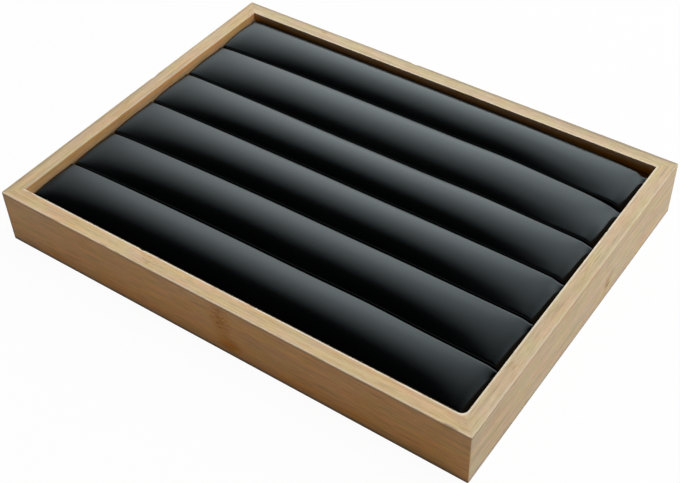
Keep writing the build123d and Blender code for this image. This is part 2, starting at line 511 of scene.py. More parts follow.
def edge_wear_and_highlight(name):
    """Rubbed edges paler and a little rougher, the paleness partly wear and partly a painted highlight, and
    dark lines, most of them painted shade.
    """
    tree, given, out = new_group(
        name,
        [
            ("Vector", "NodeSocketVector", None),
            ("Color", "NodeSocketColor", (0.5, 0.5, 0.5, 1)),
            ("Worn and Highlight Color", "NodeSocketColor", (0.8, 0.7, 0.5, 1)),
            ("Roughness", "NodeSocketFloat", 0.5),
            ("Mask", "NodeSocketFloat", 0.0),
            ("Amount", "NodeSocketFloat", 0.5),
            ("Dark Line", "NodeSocketFloat", 0.0),
        ],
        [("Color", "NodeSocketColor"), ("Roughness", "NodeSocketFloat")],
    )
    patches = eased(tree, cloud(tree, given["Vector"], (160, 700, 700), detail=2.0), 0.22, 0.46)
    worn_and_highlit = maths(tree, "MULTIPLY", given["Mask"], patches)
    worn_and_highlit = maths(tree, "MULTIPLY", worn_and_highlit, given["Amount"], clamp=True)
    colour = blended(tree, worn_and_highlit, given["Color"], given["Worn and Highlight Color"])
    # Darkened in the lines, most of them painted shade
    darkened = blended(tree, 1.0, colour, (0.15, 0.20, 0.40, 1.0), "MULTIPLY")
    colour = blended(tree, given["Dark Line"], colour, darkened)
    rough = maths(tree, "ADD", given["Roughness"], maths(tree, "MULTIPLY", worn_and_highlit, 0.12))
    give(tree, out, Color=colour, Roughness=rough)
    return tree


def hide_grain(name):
    """Pebbled leather grain: soft cells with creases between them."""
    tree, given, out = new_group(
        name,
        [
            ("Vector", "NodeSocketVector", None),
            ("Cell Size", "NodeSocketFloat", 0.7 * MM),
            ("Base Roughness", "NodeSocketFloat", 0.38),
        ],
        [("Height", "NodeSocketFloat"), ("Roughness", "NodeSocketFloat"), ("Shade", "NodeSocketFloat")],
    )
    per_metre = maths(tree, "DIVIDE", 1.0, given["Cell Size"])
    feeds = {"Vector": given["Vector"], "Scale": per_metre, "Smoothness": 0.6, "Randomness": 0.9}
    cells = place(tree, "ShaderNodeTexVoronoi", feeds, feature="SMOOTH_F1").outputs["Distance"]
    feeds = {"Vector": given["Vector"], "Scale": maths(tree, "MULTIPLY", per_metre, 0.22), "Detail": 3.0}
    creases = place(tree, "ShaderNodeTexNoise", feeds).outputs["Fac"]
    rubbed = cloud(tree, given["Vector"], (22, 60, 60), detail=2.0)
    height = maths(tree, "SUBTRACT", maths(tree, "MULTIPLY", creases, 0.6), cells)
    rough = moved(tree, given["Base Roughness"], rubbed, 0.10)
    give(tree, out, Height=height, Roughness=rough, Shade=creases)
    return tree


def new_material(name):
    """Material with a bare Principled shader: (material, tree, shader)."""
    material = bpy.data.materials.new(name)
    material.use_nodes = True
    tree = material.node_tree
    return material, tree, tree.nodes["Principled BSDF"]


def bumped(tree, shader, height, depth):
    """Relief on a shader, with its depth in metres."""
    relief = place(tree, "ShaderNodeBump", {"Height": height, "Strength": 1.0, "Distance": depth})
    tree.links.new(relief.outputs["Normal"], shader.inputs["Normal"])


def painted(tree, name):
    """Value that the mesh carries under a name."""
    return place(tree, "ShaderNodeAttribute", attribute_name=name).outputs


def placed_grain(tree, look, layer_width):
    """The bamboo grain in a material, in the two colours of the tray."""
    grain = place(tree, "ShaderNodeGroup", node_tree=shared_group("Bamboo Grain", bamboo_grain))
    grain.inputs["Pale"].default_value = opaque(look.straw)
    grain.inputs["Deep"].default_value = opaque(look.caramel)
    grain.inputs["Layer Width"].default_value = layer_width
    return grain


def bamboo_material(look):
    """Lacquered bamboo of the rails, along each rail's own coordinates."""
    material, tree, shader = new_material("bamboo")
    timber = painted(tree, "timber")["Vector"]
    grain = placed_grain(tree, look, look.layer_width)
    where = place(tree, "ShaderNodeTexCoord").outputs["Object"]
    height = place(tree, "ShaderNodeSeparateXYZ", {0: where}).outputs["Z"]
    outer = painted(tree, "outer")["Fac"]
    inner = maths(tree, "SUBTRACT", 1.0, outer, clamp=True)

    # Deeper tones: a line under the rim, and the top of the inner faces
    under_rim = banded(tree, height, rim_height - 2.4 * MM, rim_height - 1.0 * MM, rim_height - 0.2 * MM)
    deeper = maths(tree, "MULTIPLY", maths(tree, "MULTIPLY", under_rim, 0.25), outer)
    inner_top = banded(tree, height, rim_height - 4.0 * MM, rim_height - 0.9 * MM, rim_height - 0.2 * MM)
    inner_top = maths(tree, "MULTIPLY", maths(tree, "MULTIPLY", inner_top, inner), 0.35)
    deeper = maths(tree, "ADD", deeper, inner_top)
    # The level is painted light and shade along each rail, with the stains darker
    feeds = {
        "Vector": timber,
        "Tone": maths(tree, "ADD", painted(tree, "tone")["Fac"], deeper),
        "Level": painted(tree, "level")["Fac"],
        "Knuckle": painted(tree, "knuckle")["Fac"],
    }
    for label, value in feeds.items():
        tree.links.new(value, grain.inputs[label])
    worn_and_highlit = place(tree, "ShaderNodeGroup", node_tree=shared_group("Edge Wear and Highlight", edge_wear_and_highlight))
    tree.links.new(timber, worn_and_highlit.inputs["Vector"])
    tree.links.new(grain.outputs["Color"], worn_and_highlit.inputs["Color"])
    tree.links.new(grain.outputs["Roughness"], worn_and_highlit.inputs["Roughness"])
    tree.links.new(painted(tree, "arris")["Fac"], worn_and_highlit.inputs["Mask"])
    # Pale colour of the rim edges: partly wear, partly a painted highlight
    worn_and_highlit.inputs["Worn and Highlight Color"].default_value = (0.94, 0.82, 0.66, 1.0)
    worn_and_highlit.inputs["Amount"].default_value = look.wear_and_highlight

    # Darker lines: painted contact shade along the foot, painted shade on the lower half of the rounded outer
    # rim edge, painted shadow of the rolls on the inner walls, and the lines drawn along edges and corners
    foot = maths(tree, "MULTIPLY", eased(tree, height, 2.7 * MM, 0.3 * MM), painted(tree, "foot_shade_line")["Fac"])
    crisp = banded(tree, height, rim_height - 1.7 * MM, rim_height - 0.9 * MM, rim_height - 0.4 * MM)
    lines = maths(tree, "MAXIMUM", foot, maths(tree, "MULTIPLY", crisp, 0.35))
    lines = maths(tree, "MULTIPLY", lines, outer)
    # Painted shadow of the rolls on the inner walls: a dark band just above where they meet the wall
    rubbed = maths(tree, "MULTIPLY", banded(tree, height, 20.4 * MM, 22.2 * MM, 23.6 * MM), inner)
    lines = maths(tree, "MAXIMUM", lines, maths(tree, "MULTIPLY", rubbed, 0.7))
    lines = maths(tree, "MAXIMUM", lines, painted(tree, "edge_line")["Fac"])
    tree.links.new(lines, worn_and_highlit.inputs["Dark Line"])
    tree.links.new(worn_and_highlit.outputs["Color"], shader.inputs["Base Color"])
    tree.links.new(worn_and_highlit.outputs["Roughness"], shader.inputs["Roughness"])
    shader.inputs["Specular IOR Level"].default_value = look.lacquer
    bumped(tree, shader, grain.outputs["Height"], 0.05 * MM)
    return material


def sawn_bamboo_material(name, look, tone, fibres, layer_width):
    """Plain sawn bamboo on a node that keeps its CAD mesh, with its fibres turned by an angle."""
    material, tree, shader = new_material(name)
    where = place(tree, "ShaderNodeTexCoord").outputs["Object"]
    turned = place(tree, "ShaderNodeMapping", {"Vector": where, "Rotation": fibres}).outputs["Vector"]
    grain = placed_grain(tree, look, layer_width)
    tree.links.new(turned, grain.inputs["Vector"])
    grain.inputs["Tone"].default_value = tone
    tree.links.new(grain.outputs["Color"], shader.inputs["Base Color"])
    tree.links.new(grain.outputs["Roughness"], shader.inputs["Roughness"])
    bumped(tree, shader, grain.outputs["Height"], 0.08 * MM)
    return material


def leathercloth_material(look):
    """Black satin leathercloth with a fine pebbled grain."""
    material, tree, shader = new_material("leathercloth")
    where = place(tree, "ShaderNodeTexCoord").outputs["Object"]
    grain = place(tree, "ShaderNodeGroup", node_tree=shared_group("Hide Grain", hide_grain))
    tree.links.new(where, grain.inputs["Vector"])
    grain.inputs["Cell Size"].default_value = 0.55 * MM
    grain.inputs["Base Roughness"].default_value = 0.18
    shade = maths(tree, "MULTIPLY", grain.outputs["Shade"], 0.5)
    deeper = tuple(0.6 * part for part in look.black)
    colour = blended(tree, shade, opaque(look.black), opaque(deeper))
    tree.links.new(colour, shader.inputs["Base Color"])
    tree.links.new(grain.outputs["Roughness"], shader.inputs["Roughness"])
    shader.inputs["Specular Tint"].default_value = (0.86, 0.96, 1.0, 1.0)
    bumped(tree, shader, grain.outputs["Height"], 0.02 * MM)
    return material


def board_material():
    """Greyboard lined with black paper."""
    material, tree, shader = new_material("lined_board")
    where = place(tree, "ShaderNodeTexCoord").outputs["Object"]
    fibres = cloud(tree, where, (900, 900, 900), detail=4.0, roughness=0.7)
    patches = cloud(tree, where, (70, 70, 70), detail=2.0)
    colour = blended(tree, fibres, (0.010, 0.010, 0.011, 1.0), (0.024, 0.024, 0.025, 1.0))
    colour = blended(tree, maths(tree, "MULTIPLY", patches, 0.5), colour, (0.014, 0.014, 0.014, 1.0))
    tree.links.new(colour, shader.inputs["Base Color"])
    tree.links.new(maths(tree, "ADD", maths(tree, "MULTIPLY", fibres, 0.2), 0.70), shader.inputs["Roughness"])
    bumped(tree, shader, fibres, 0.06 * MM)
    return material


def foam_material(look):
    """Open-cell foam, with painted shade in its cell hollows."""
    material, tree, shader = new_material("open_cell_foam")
    where = place(tree, "ShaderNodeTexCoord").outputs["Object"]
    cells = place(tree, "ShaderNodeTexVoronoi", {"Vector": where, "Scale": 1100.0}).outputs["Distance"]
    yellowed = cloud(tree, where, (40, 40, 40), detail=2.0)
    aged = tuple(part * share for part, share in zip(look.foam, (0.96, 0.90, 0.74)))
    colour = blended(tree, yellowed, opaque(look.foam), opaque(aged))
    # Painted shade in the hollows of the cells
    hollow_shade = maths(tree, "MULTIPLY", eased(tree, cells, 0.55, 0.20), 0.35)
    colour = blended(tree, hollow_shade, colour, (0.30, 0.28, 0.22, 1.0))
    tree.links.new(colour, shader.inputs["Base Color"])
    tree.links.new(maths(tree, "ADD", maths(tree, "MULTIPLY", cells, 0.15), 0.80), shader.inputs["Roughness"])
    bumped(tree, shader, cells, 0.25 * MM)
    return material


def finished_object(name, mesh, material, sharp_over=35):
    """Object in the scene from a mesh, smooth but for its edges sharper than an angle."""
    piece = bpy.data.objects.new(name, mesh)
    bpy.context.scene.collection.objects.link(piece)
    mesh.materials.append(material)
    mesh.shade_smooth()
    mesh.set_sharp_from_angle(angle=math.radians(sharp_over))
    return piece


def give_finish(node, material):
    """Puts a material on a node that keeps its solid."""
    node.data.materials.clear()
    node.data.materials.append(material)


def rail_profile(look):
    """Section of a rail: (distance in from its outer face, height), from the foot of the outer face."""
    r, thickness, height = look.arris_radius, inner_face, rim_height
    groove_low, groove_high = panel_low.z, panel_high.z + GROOVE_SLACK
    groove_back = rail_thickness - GROOVE_DEPTH
    close = (0.4 * MM, 0.9 * MM, 1.6 * MM)
    points = [(0, r)] + line((0, r), (0, height - r), 14)
    points += arc((r, height - r), r, 180, 90, 4)
    points += [(r + step, height) for step in close]
    points += line((r + close[-1], height), (thickness - r - close[-1], height), 4)
    points += [(thickness - r - step, height) for step in reversed(close)]
    points += arc((thickness - r, height - r), r, 90, 0, 4)
    points += line((thickness, height - r), (thickness, groove_high), 6)
    points += [(thickness, groove_high), (groove_back, groove_high)]
    points += [(groove_back, groove_low), (thickness, groove_low), (thickness, 0)]
    points += line((thickness, 0), (r, 0), 4)
    points += arc((r, r), r, 270, 180, 4)[:-1]
    return points


def rail_stations(half):
    """Places of the sections along a rail, closer together at its mitres."""
    fine, coarse, close_end = 0.6 * MM, 1.6 * MM, 12 * MM
    places = [half - step * fine for step in range(int(close_end / fine))]
    start = places[-1]
    count = round(start / coarse)
    places += [start * (count - step) / count for step in range(1, count + 1)]
    return [-x for x in places] + places[-2::-1]


def rounded_corner(x, across, half, radius):
    """Outer upright corner: the square shells round its middle become round ones."""
    side = math.copysign(1, x)
    out, off = abs(x) - (half - radius), radius - across
    if out <= 0 or off <= 0:
        return x, across
    reach = max(out, off)
    length = math.hypot(out, off)
    return side * (half - radius + out / length * reach), radius - off / length * reach


def filled_corner(x, across, z, half, end):
    """Filler in an inner corner: it pushes the inner face out to a round."""
    if z < panel_high.z or x * end < 0:
        return x, across
    from_mitre = (half - across) - x * end
    if from_mitre > FILLED_RADIUS:
        return x, across
    turn = math.radians(45) * (1 - max(from_mitre, 0.0) / FILLED_RADIUS)
    a = FILLED_RADIUS * (1 - math.sin(turn)) - max(from_mitre, 0.0)
    b = FILLED_RADIUS * (1 - math.cos(turn))
    share = smooth(0.35 * rail_thickness, inner_face, across)
    return x - end * a * share, across + b * share


def knuckle_at(side, x, across, z, look):
    """How much of a knuckle a point of a rail shows, from 0 to 1."""
    r = look.arris_radius
    amount = 0.0
    for face, middle, breadth, slant, strength, depth, reach in KNUCKLES[side]:
        on_face = across < 0.6 * r if face == "outer" else (z > rim_height - 0.6 * r)
        if on_face:
            drift = (rim_height - z) if face == "outer" else across
            shown = strength * bump_at(drift, depth, reach)
            amount = max(amount, shown * bump_at(x, middle - slant * (drift - depth), breadth))
    return amount


def tone_at(side, x, across, z, look):
    """Depth of tone of a point of a rail, from 0, straw, to 1, caramel."""
    r = look.arris_radius
    near_rim, at_foot = RAILS[side]["outer_tones"]
    outer = 1 - smooth(0.0, r, across)
    inner = smooth(inner_face - r, inner_face, across)
    inner *= 1 - smooth(rim_height - 1.2 * r, rim_height - 0.5 * r, z)
    under = 1 - smooth(0.0, r, z)
    tone = outer * (at_foot + (near_rim - at_foot) * z / rim_height) + inner * RAILS[side]["inner_tone"]
    tone += (1 - outer) * (1 - inner) * RAILS[side]["rim_tone"]
    for middle, height, long, broad, deeper, _ in STAINS[side]:
        tone += outer * deeper * bump_at(x, middle, long) * bump_at(z, height, broad)
    if side == "front":
        tone -= outer * FRONT_LEFT_PALER * smooth(0.5, 1.0, -2 * x / tray_length)
    return max(tone, 0.5 * under)


def painted_light_and_stain_level_at(side, x, across, z, half, look):
    """How light a point of a rail is against the others: painted light and shade along each rail, with the
    stains darker.
    """
    outer = 1 - smooth(0.0, look.arris_radius, across)
    share = (x + half) / (2 * half)
    rim, face = [
        start + (end - start) * share
        for start, end in (RAILS[side]["rim_painted_light"], RAILS[side]["outer_painted_light"])
    ]
    for middle, height, long, broad, _, darker in STAINS[side]:
        face -= darker * bump_at(x, middle, long) * bump_at(z, height, broad)
    return rim + outer * (face - rim)


def add_mortised_end(bm, row, half, end):
    """Mitred end of a rail, with half the mortise of its tongue sunk into it."""
    middle = rail_thickness / 2
    reach = (TONGUE_THICKNESS / 2 + TONGUE_CLEARANCE) / math.sqrt(2)
    depth = (TONGUE_REACH + TONGUE_CLEARANCE) / math.sqrt(2)
    low, high = tongue_low.z - TONGUE_CLEARANCE, tongue_high.z + TONGUE_CLEARANCE
    mouth, bottom = [], []
    near, far = middle - reach, middle + reach
    for across, z in ((near, low), (far, low), (far, high), (near, high)):
        mouth.append(bm.verts.new((end * (half - across), across, z)))
        bottom.append(bm.verts.new((end * (half - across - depth), across - depth, z)))
    edges = [bm.edges.get((a, b)) or bm.edges.new((a, b)) for a, b in zip(row, row[1:] + row[:1])]
    edges += [bm.edges.new((a, b)) for a, b in zip(mouth, mouth[1:] + mouth[:1])]
    bmesh.ops.triangle_fill(bm, use_beauty=True, edges=edges)
    for step in range(4):
        ahead = (step + 1) % 4
        bm.faces.new((mouth[step], mouth[ahead], bottom[ahead], bottom[step]))
    bm.faces.new(bottom)


def rail_mesh(side, look):
    """Mesh of one mitred rail in the frame of the tray, with what its material reads."""
    lengthways = side in ("front", "back")
    half = (tray_length if lengthways else tray_depth) / 2
    out_to = (tray_depth if lengthways else tray_length) / 2
    profile = rail_profile(look)
    bm = bmesh.new()
    rows = [
        [bm.verts.new((along * (half - across) / half, across, z)) for across, z in profile]
        for along in rail_stations(half)
    ]
    count = len(profile)
    for near, far in zip(rows, rows[1:]):
        for i in range(count):
            j = (i + 1) % count
            bm.faces.new((near[i], far[i], far[j], near[j]))
    add_mortised_end(bm, rows[0], half, -1)
    add_mortised_end(bm, rows[-1], half, 1)
    bmesh.ops.recalc_face_normals(bm, faces=bm.faces)

    timber = bm.verts.layers.float_vector.new("timber")
    painted_names = ("tone", "level", "arris", "knuckle", "outer", "edge_line", "foot_shade_line")
    layers = {name: bm.verts.layers.float.new(name) for name in painted_names}
    turn = Matrix.Rotation(math.radians(RAILS[side]["turn"]), 4, "Z")
    number = list(RAILS).index(side)
    r = look.arris_radius
    for vertex in bm.verts:
        x, across, z = vertex.co
        vertex[timber] = Vector((x + number * 0.7, across + number * 0.013, z + number * 0.11))
        vertex[layers["tone"]] = tone_at(side, x, across, z, look)
        # Painted light and shade along the rail, with the stains darker
        vertex[layers["level"]] = painted_light_and_stain_level_at(side, x, across, z, half, look)
        vertex[layers["knuckle"]] = knuckle_at(side, x, across, z, look)
        near_top = smooth(rim_height - 0.4 * MM, rim_height - 0.1 * MM, z)
        outside = 1 - smooth(0.4 * MM, 1.2 * MM, across)
        inside = smooth(inner_face - 1.1 * MM, inner_face - 0.4 * MM, across)
        # Rim edges rubbed pale: partly wear, partly a painted highlight
        highlit_worn_outside, highlit_worn_inside, dark_outside = ARRIS_WEAR_AND_HIGHLIGHT[side]
        vertex[layers["arris"]] = near_top * max(highlit_worn_outside * outside, highlit_worn_inside * inside)
        vertex[layers["outer"]] = 1 - smooth(0.0, r, across)
        # How dark the painted contact shade along the foot is
        vertex[layers["foot_shade_line"]] = RAILS[side]["foot_shade_line"]
        vertex[layers["edge_line"]] = dark_outside * near_top * (1 - smooth(0.6 * MM, 1.9 * MM, across))

        # A darker line along some of the upright corners
        if side in DARK_CORNER:
            end, breadth, amount = DARK_CORNER[side]
            at_corner = smooth(half - breadth, half - 0.4 * breadth, x * end) * vertex[layers["outer"]]
            vertex[layers["edge_line"]] = max(vertex[layers["edge_line"]], amount * at_corner)

        # Nicks sink the edge, and sanding lets it wander
        for edge, middle, reach, depth in NICKS[side]:
            off = across if edge == "outer" else inner_face - across
            if abs(x - middle) < reach and off < 3 * r and z > rim_height - 4 * r:
                ragged = 0.7 + 0.3 * noise.noise(Vector((x / (0.5 * MM), number, 0)))
                sink = depth * ragged * (1 - smooth(0.4 * reach, reach, abs(x - middle)))
                sink *= (1 - smooth(0, 3 * r, off)) * smooth(rim_height - 4 * r, rim_height - r, z)
                z -= sink
                across += sink * 0.7 * (1 if edge == "outer" else -1)
        wander = look.waviness * noise.noise(Vector((x / (14 * MM), across / (9 * MM), number * 5.0)))
        if z > rim_height - 4 * r and abs(x) < half - across - 4 * MM:
            z += wander - look.waviness * 0.5
        x, across = rounded_corner(x, across, half, look.corner_radius)
        if side in FILLED_CORNER:
            x, across = filled_corner(x, across, z, half, FILLED_CORNER[side])
        vertex.co = turn @ Vector((x, across - out_to, z))

    mesh = bpy.data.meshes.new("bamboo_rail_" + side)
    bm.to_mesh(mesh)
    bm.free()
    return mesh


class RollForm:
    """Outline of one ring roll, from the box of its solid and the unevenness of hand work."""

    CROWN_STEPS = 10
    SHOULDER_STEPS = 4
    SIDE_STEPS = 6
    TURN_STEPS = 6
    CLOSE_STEPS = 16
    WIDE_STEPS = 32
    CLOSE_FROM = 94 * MM
    BEND = 10 * MM
    SAG_POWER = 3.5
    FALL_POWER = 10
    SCALLOP_POWER = 2.6

    def __init__(self, number, look, inset):
        low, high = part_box(f"leather_cover_{number}")
        self.number = number
        self.look = look
        self.inset = inset
        self.left = low.x - look.end_reach
        self.right = high.x + RIGHT_CREEP * look.end_reach
        self.half_width = (high.y - low.y) / 2
        self.middle = (high.y + low.y) / 2
        self.base = low.z
        self.crest = high.z - look.settled
        self.across = self.CROWN_STEPS + self.SHOULDER_STEPS
        self.upright = self.SIDE_STEPS + self.SHOULDER_STEPS // 2
        self.around = 2 * (self.across + self.upright)

    def outward(self, x):
        """Share of the way from the middle of the roll to the end that x is on the side of."""
        return x / (self.left if x < 0 else self.right)

    def sag(self, x):
        """How far the crest has sunk at x: slowly along the roll, and in a bend before its end."""
        end = (LEFT_SAG if x < 0 else RIGHT_SAG)[self.number - 1]
        to_end = abs(self.left if x < 0 else self.right) - abs(x)
        bend = max(1 - to_end / self.BEND, 0.0)
        return end * self.outward(x) ** self.SAG_POWER + self.look.end_drop * bend**2

    def turn(self, end):
        """Breadth and height of the turn from the crest down into an end."""
        if end < 0:
            return LEFT_TURN[self.number - 1], LEFT_TURN[self.number - 1]
        return self.look.end_radius, self.look.end_radius * self.look.right_fall

    def drawn(self, x):
        """How far the turn into an end has taken the crest down at x."""
        end = self.left if x < 0 else self.right
        breadth, height = self.turn(end)
        share = min(max(1 - (abs(end) - abs(x)) / breadth, 0.0), 1.0)
        return height * (1 - math.sqrt(1 - share**2))

    def slot(self, x, behind):
        """Place of the slot in front of the roll, or behind it, at x."""
        index = self.number - 1 + behind
        side = 1 if behind else -1
        shift = SLOT_SHIFT[index]
        shift += ((LEFT_SHIFT if x < 0 else RIGHT_SHIFT)[index] - shift) * self.outward(x) ** 2
        shift += RIPPLE[index] * bump_at(x, 54 * MM, 20 * MM)
        if 0 < index < len(LEFT_SAG):
            shift += SLOT_WANDER * noise.noise(Vector((x / (45 * MM), index * 3.7, 0)))
        return self.middle + side * self.half_width + shift

    def section(self, x, end_inset):
        """Points round the roll at x: along the base to the back, up, over the crown and down."""
        look = self.look
        inset = self.inset + end_inset
        half_width = self.half_width - self.inset - look.narrowing * end_inset
        shoulder, crown = look.shoulder_radius, look.crown_radius
        reach = half_width - shoulder

        # The crown flattens as it sinks, and takes its shoulders down only once it is nearly flat
        crest = self.crest - inset - self.sag(x)
        rise = crown - shoulder - math.sqrt((crown - shoulder) ** 2 - reach**2)
        rise = max(rise - CROWN_FLATTENS[x >= 0] * self.sag(x), FLATTEST_RISE)
        crown = (reach**2 + rise**2) / (2 * rise) + shoulder
        lean = math.asin(reach / (crown - shoulder))
        centre_z = crest - rise - shoulder
        drop = centre_z - self.base
        side = (look.draw_in**2 + drop**2) / (2 * look.draw_in)
        dip = math.asin(drop / side)
        half = []
        for step in range(self.SIDE_STEPS + 1):
            angle = dip * (1 - step / self.SIDE_STEPS)
            y = half_width - side * (1 - math.cos(angle))
            half.append((y, centre_z - side * math.sin(angle)))
        for step in range(1, self.SHOULDER_STEPS + 1):
            angle = math.pi / 2 + (lean - math.pi / 2) * step / self.SHOULDER_STEPS
            y = half_width - shoulder * (1 - math.sin(angle))
            half.append((y, centre_z + shoulder * math.cos(angle)))
        for step in range(1, self.CROWN_STEPS // 2):
            angle = lean * (1 - step / (self.CROWN_STEPS / 2))
            half.append((crown * math.sin(angle), crest - crown * (1 - math.cos(angle))))
        over = half + [(0.0, crest)] + [(-y, z) for y, z in reversed(half)]
        foot = half[0][0]
        under = [(foot * (2 * step / self.across - 1), self.base) for step in range(1, self.across)]
        outline = [(-foot, self.base)] + under + over[:-1]
        front, back = self.slot(x, 0), self.slot(x, 1)
        points = []
        for y, z in outline:
            share = (y + self.half_width) / (2 * self.half_width)
            points.append(Vector((self.scalloped(x, y), front + share * (back - front), z)))
        return points

    def scalloped(self, x, y):
        """Place along the roll, set back at the corners of its ends."""
        near_end = smooth(0.9, 1.0, self.outward(x))
        stand_back = LEFT_STAND_BACK if x < 0 else RIGHT_STAND_BACK
        share = stand_back[self.number - 1] if y < 0 else BACK_STAND_BACK[x > 0]
        back = share * self.look.scallop * (abs(y) / self.half_width) ** self.SCALLOP_POWER * near_end
        return math.copysign(abs(x) - back, x)

    def stations_towards(self, end):
        """From an end to the middle, the places of the sections and how far each one is drawn in."""
        turn, fall = self.turn(end)
        places = []
        for step in range(self.TURN_STEPS + 1):
            bend = math.pi / 2 * step / self.TURN_STEPS
            places.append((abs(end) - self.inset - turn * (1 - math.cos(bend)), fall * (1 - math.sin(bend))))
        start = places[-1][0]
        for step in range(1, self.CLOSE_STEPS + 1):
            places.append((start + (self.CLOSE_FROM - start) * step / self.CLOSE_STEPS, 0.0))
        for step in range(1, self.WIDE_STEPS + 1):
            places.append((self.CLOSE_FROM * (1 - step / self.WIDE_STEPS), 0.0))
        return [(math.copysign(x, end), drawn) for x, drawn in places]

    def stations(self):
        """Places of all sections from left to right, and how far each one is drawn in."""
        return self.stations_towards(self.left) + self.stations_towards(self.right)[-2::-1]

    def section_of(self, vertex):
        """Number of the section that a vertex belongs to; the points of an end go with its last one."""
        last = 2 * (self.TURN_STEPS + self.CLOSE_STEPS + self.WIDE_STEPS)
        section = vertex // self.around
        if section <= last:
            return section
        inside = (self.across - 1) * (self.upright - 1)
        return 0 if vertex - (last + 1) * self.around < inside else last

    def end_grid(self, ring):
        """Inside points of an end, spread evenly between the four sides of its ring."""
        wide, tall, total = self.across, self.upright, len(ring)
        corners = [ring[0], ring[wide], ring[2 * wide + tall], ring[wide + tall]]
        rows = []
        for j in range(1, tall):
            v = j / tall
            left, right = ring[(total - j) % total], ring[wide + j]
            row = []
            for i in range(1, wide):
                u = i / wide
                bottom, top = ring[i], ring[2 * wide + tall - i]
                flat = (1 - v) * bottom + v * top + (1 - u) * left + u * right
                flat -= (1 - u) * (1 - v) * corners[0] + u * (1 - v) * corners[1]
                flat -= (1 - u) * v * corners[2] + u * v * corners[3]
                row.append(flat)
            rows.append(row)
        return rows

    def mesh(self, name):
        """Closed mesh of the roll in quads."""
        rings = [self.section(x, drawn) for x, drawn in self.stations()]
        total = len(rings[0])
        points = [point for ring in rings for point in ring]
        faces = []
        for r in range(len(rings) - 1):
            for i in range(total):
                j = (i + 1) % total
                faces.append((r * total + i, r * total + j, (r + 1) * total + j, (r + 1) * total + i))
        for r, flip in ((0, True), (len(rings) - 1, False)):
            grid = self.end_grid(rings[r])
            start = len(points)
            points += [point for row in grid for point in row]
            faces += self.end_faces(r * total, start, total, flip)
        mesh = bpy.data.meshes.new(name)
        mesh.from_pydata(points, [], faces)
        mesh.update()
        return mesh

    def end_faces(self, ring_start, grid_start, total, flip):
        """Quads of an end, between its ring and its inside points."""
        wide, tall = self.across, self.upright

        def index(i, j):
            if j == 0:
                return ring_start + i
            if j == tall:
                return ring_start + 2 * wide + tall - i
            if i == 0:
                return ring_start + (total - j) % total
            if i == wide:
                return ring_start + wide + j
            return grid_start + (j - 1) * (wide - 1) + i - 1

        faces = []
        for j in range(tall):
            for i in range(wide):
                quad = (index(i, j), index(i + 1, j), index(i + 1, j + 1), index(i, j + 1))
                faces.append(quad[::-1] if flip else quad)
        return faces


def swell(piece, glued, cap, look):
    """The foam pushes its cover out: a short cloth simulation, with each point's move capped."""
    start = [vertex.co.copy() for vertex in piece.data.vertices]
    fixed = piece.vertex_groups.new(name="glued")
    fixed.add(glued, 1.0, "REPLACE")
    cover = piece.modifiers.new("cover", "CLOTH")
    cover.settings.vertex_group_mass = "glued"
    cover.settings.quality = 6
    cover.settings.mass = 0.05
    cover.settings.use_pressure = True
    cover.settings.uniform_pressure_force = look.pressure
    cover.settings.effector_weights.gravity = 0.0
    cover.point_cache.frame_end = SWELL_FRAMES
    scene = bpy.context.scene
    for moment in range(1, SWELL_FRAMES + 1):
        scene.frame_set(moment)
    settled = piece.evaluated_get(bpy.context.evaluated_depsgraph_get()).data
    goals = [vertex.co.copy() for vertex in settled.vertices]
    piece.modifiers.remove(cover)
    piece.vertex_groups.clear()
    scene.frame_set(1)
    for vertex, rest, goal in zip(piece.data.vertices, start, goals):
        move = goal - rest
        if move.length > cap:
            move *= cap / move.length
        vertex.co = rest + move


def fill_slots(mesh, start, goal):
    """Draws each section of a swelled cover out to the height and width it has among the rolls."""
    sections = {}
    for vertex in mesh.vertices:
        sections.setdefault(start.section_of(vertex.index), []).append(vertex)
    places = zip(start.stations(), goal.stations())
    for number, ((started, _), (x, drawn)) in enumerate(places):
        points = sections[number]
        low = min(point.co.y for point in points)
        high = max(point.co.y for point in points)
        top = max(point.co.z for point in points)
        front = goal.slot(x, 0) + SLOT_MARGIN + goal.look.narrowing * drawn
        back = goal.slot(x, 1) - SLOT_MARGIN - goal.look.narrowing * drawn
        tall = (goal.crest - goal.sag(x) - drawn - goal.base) / (top - goal.base)
        for point in points:
            share = (point.co.y - low) / (high - low)
            above = max(point.co.z - goal.base, 0.0)
            y = front + share * (back - front)
            point.co = Vector((point.co.x - started + x, y, goal.base + above * tall))


def shape_ends(mesh, form):
    """Fallen back edges, dimples, stood-up corners and pulled tips that the folded ends leave."""
    number = form.number - 1
    for vertex in mesh.vertices:
        x, y, z = vertex.co
        share = (y - form.slot(x, 0)) / (form.slot(x, 1) - form.slot(x, 0))
        upper = smooth(form.base + 8 * MM, form.crest - 6 * MM, z)
        if x > 0:
            fall = BACK_FALL[number] * form.outward(x) ** form.FALL_POWER
            z -= upper * smooth(0.25, 1.0, share) * fall
            rear = smooth(0.70, 0.97, share)
            z -= upper * rear * DIMPLE[number] * bump_at(x, form.right - 3.4 * MM, 1.8 * MM)
            corner = smooth(0.74, 0.99, share)
            z += upper * corner * EAR[number] * smooth(form.right - 2.4 * MM, form.right, x)
            z += upper * form.drawn(x) * BACK_STAYS_UP * (smooth(0.30, 0.85, share) + corner)
        else:
            corner = smooth(0.84, 0.98, share) * smooth(2.2 * MM, 0.0, x - form.left)
            z += upper * corner * LEFT_EAR
        vertex.co = Vector((x, y, z))


settled_forms = {}


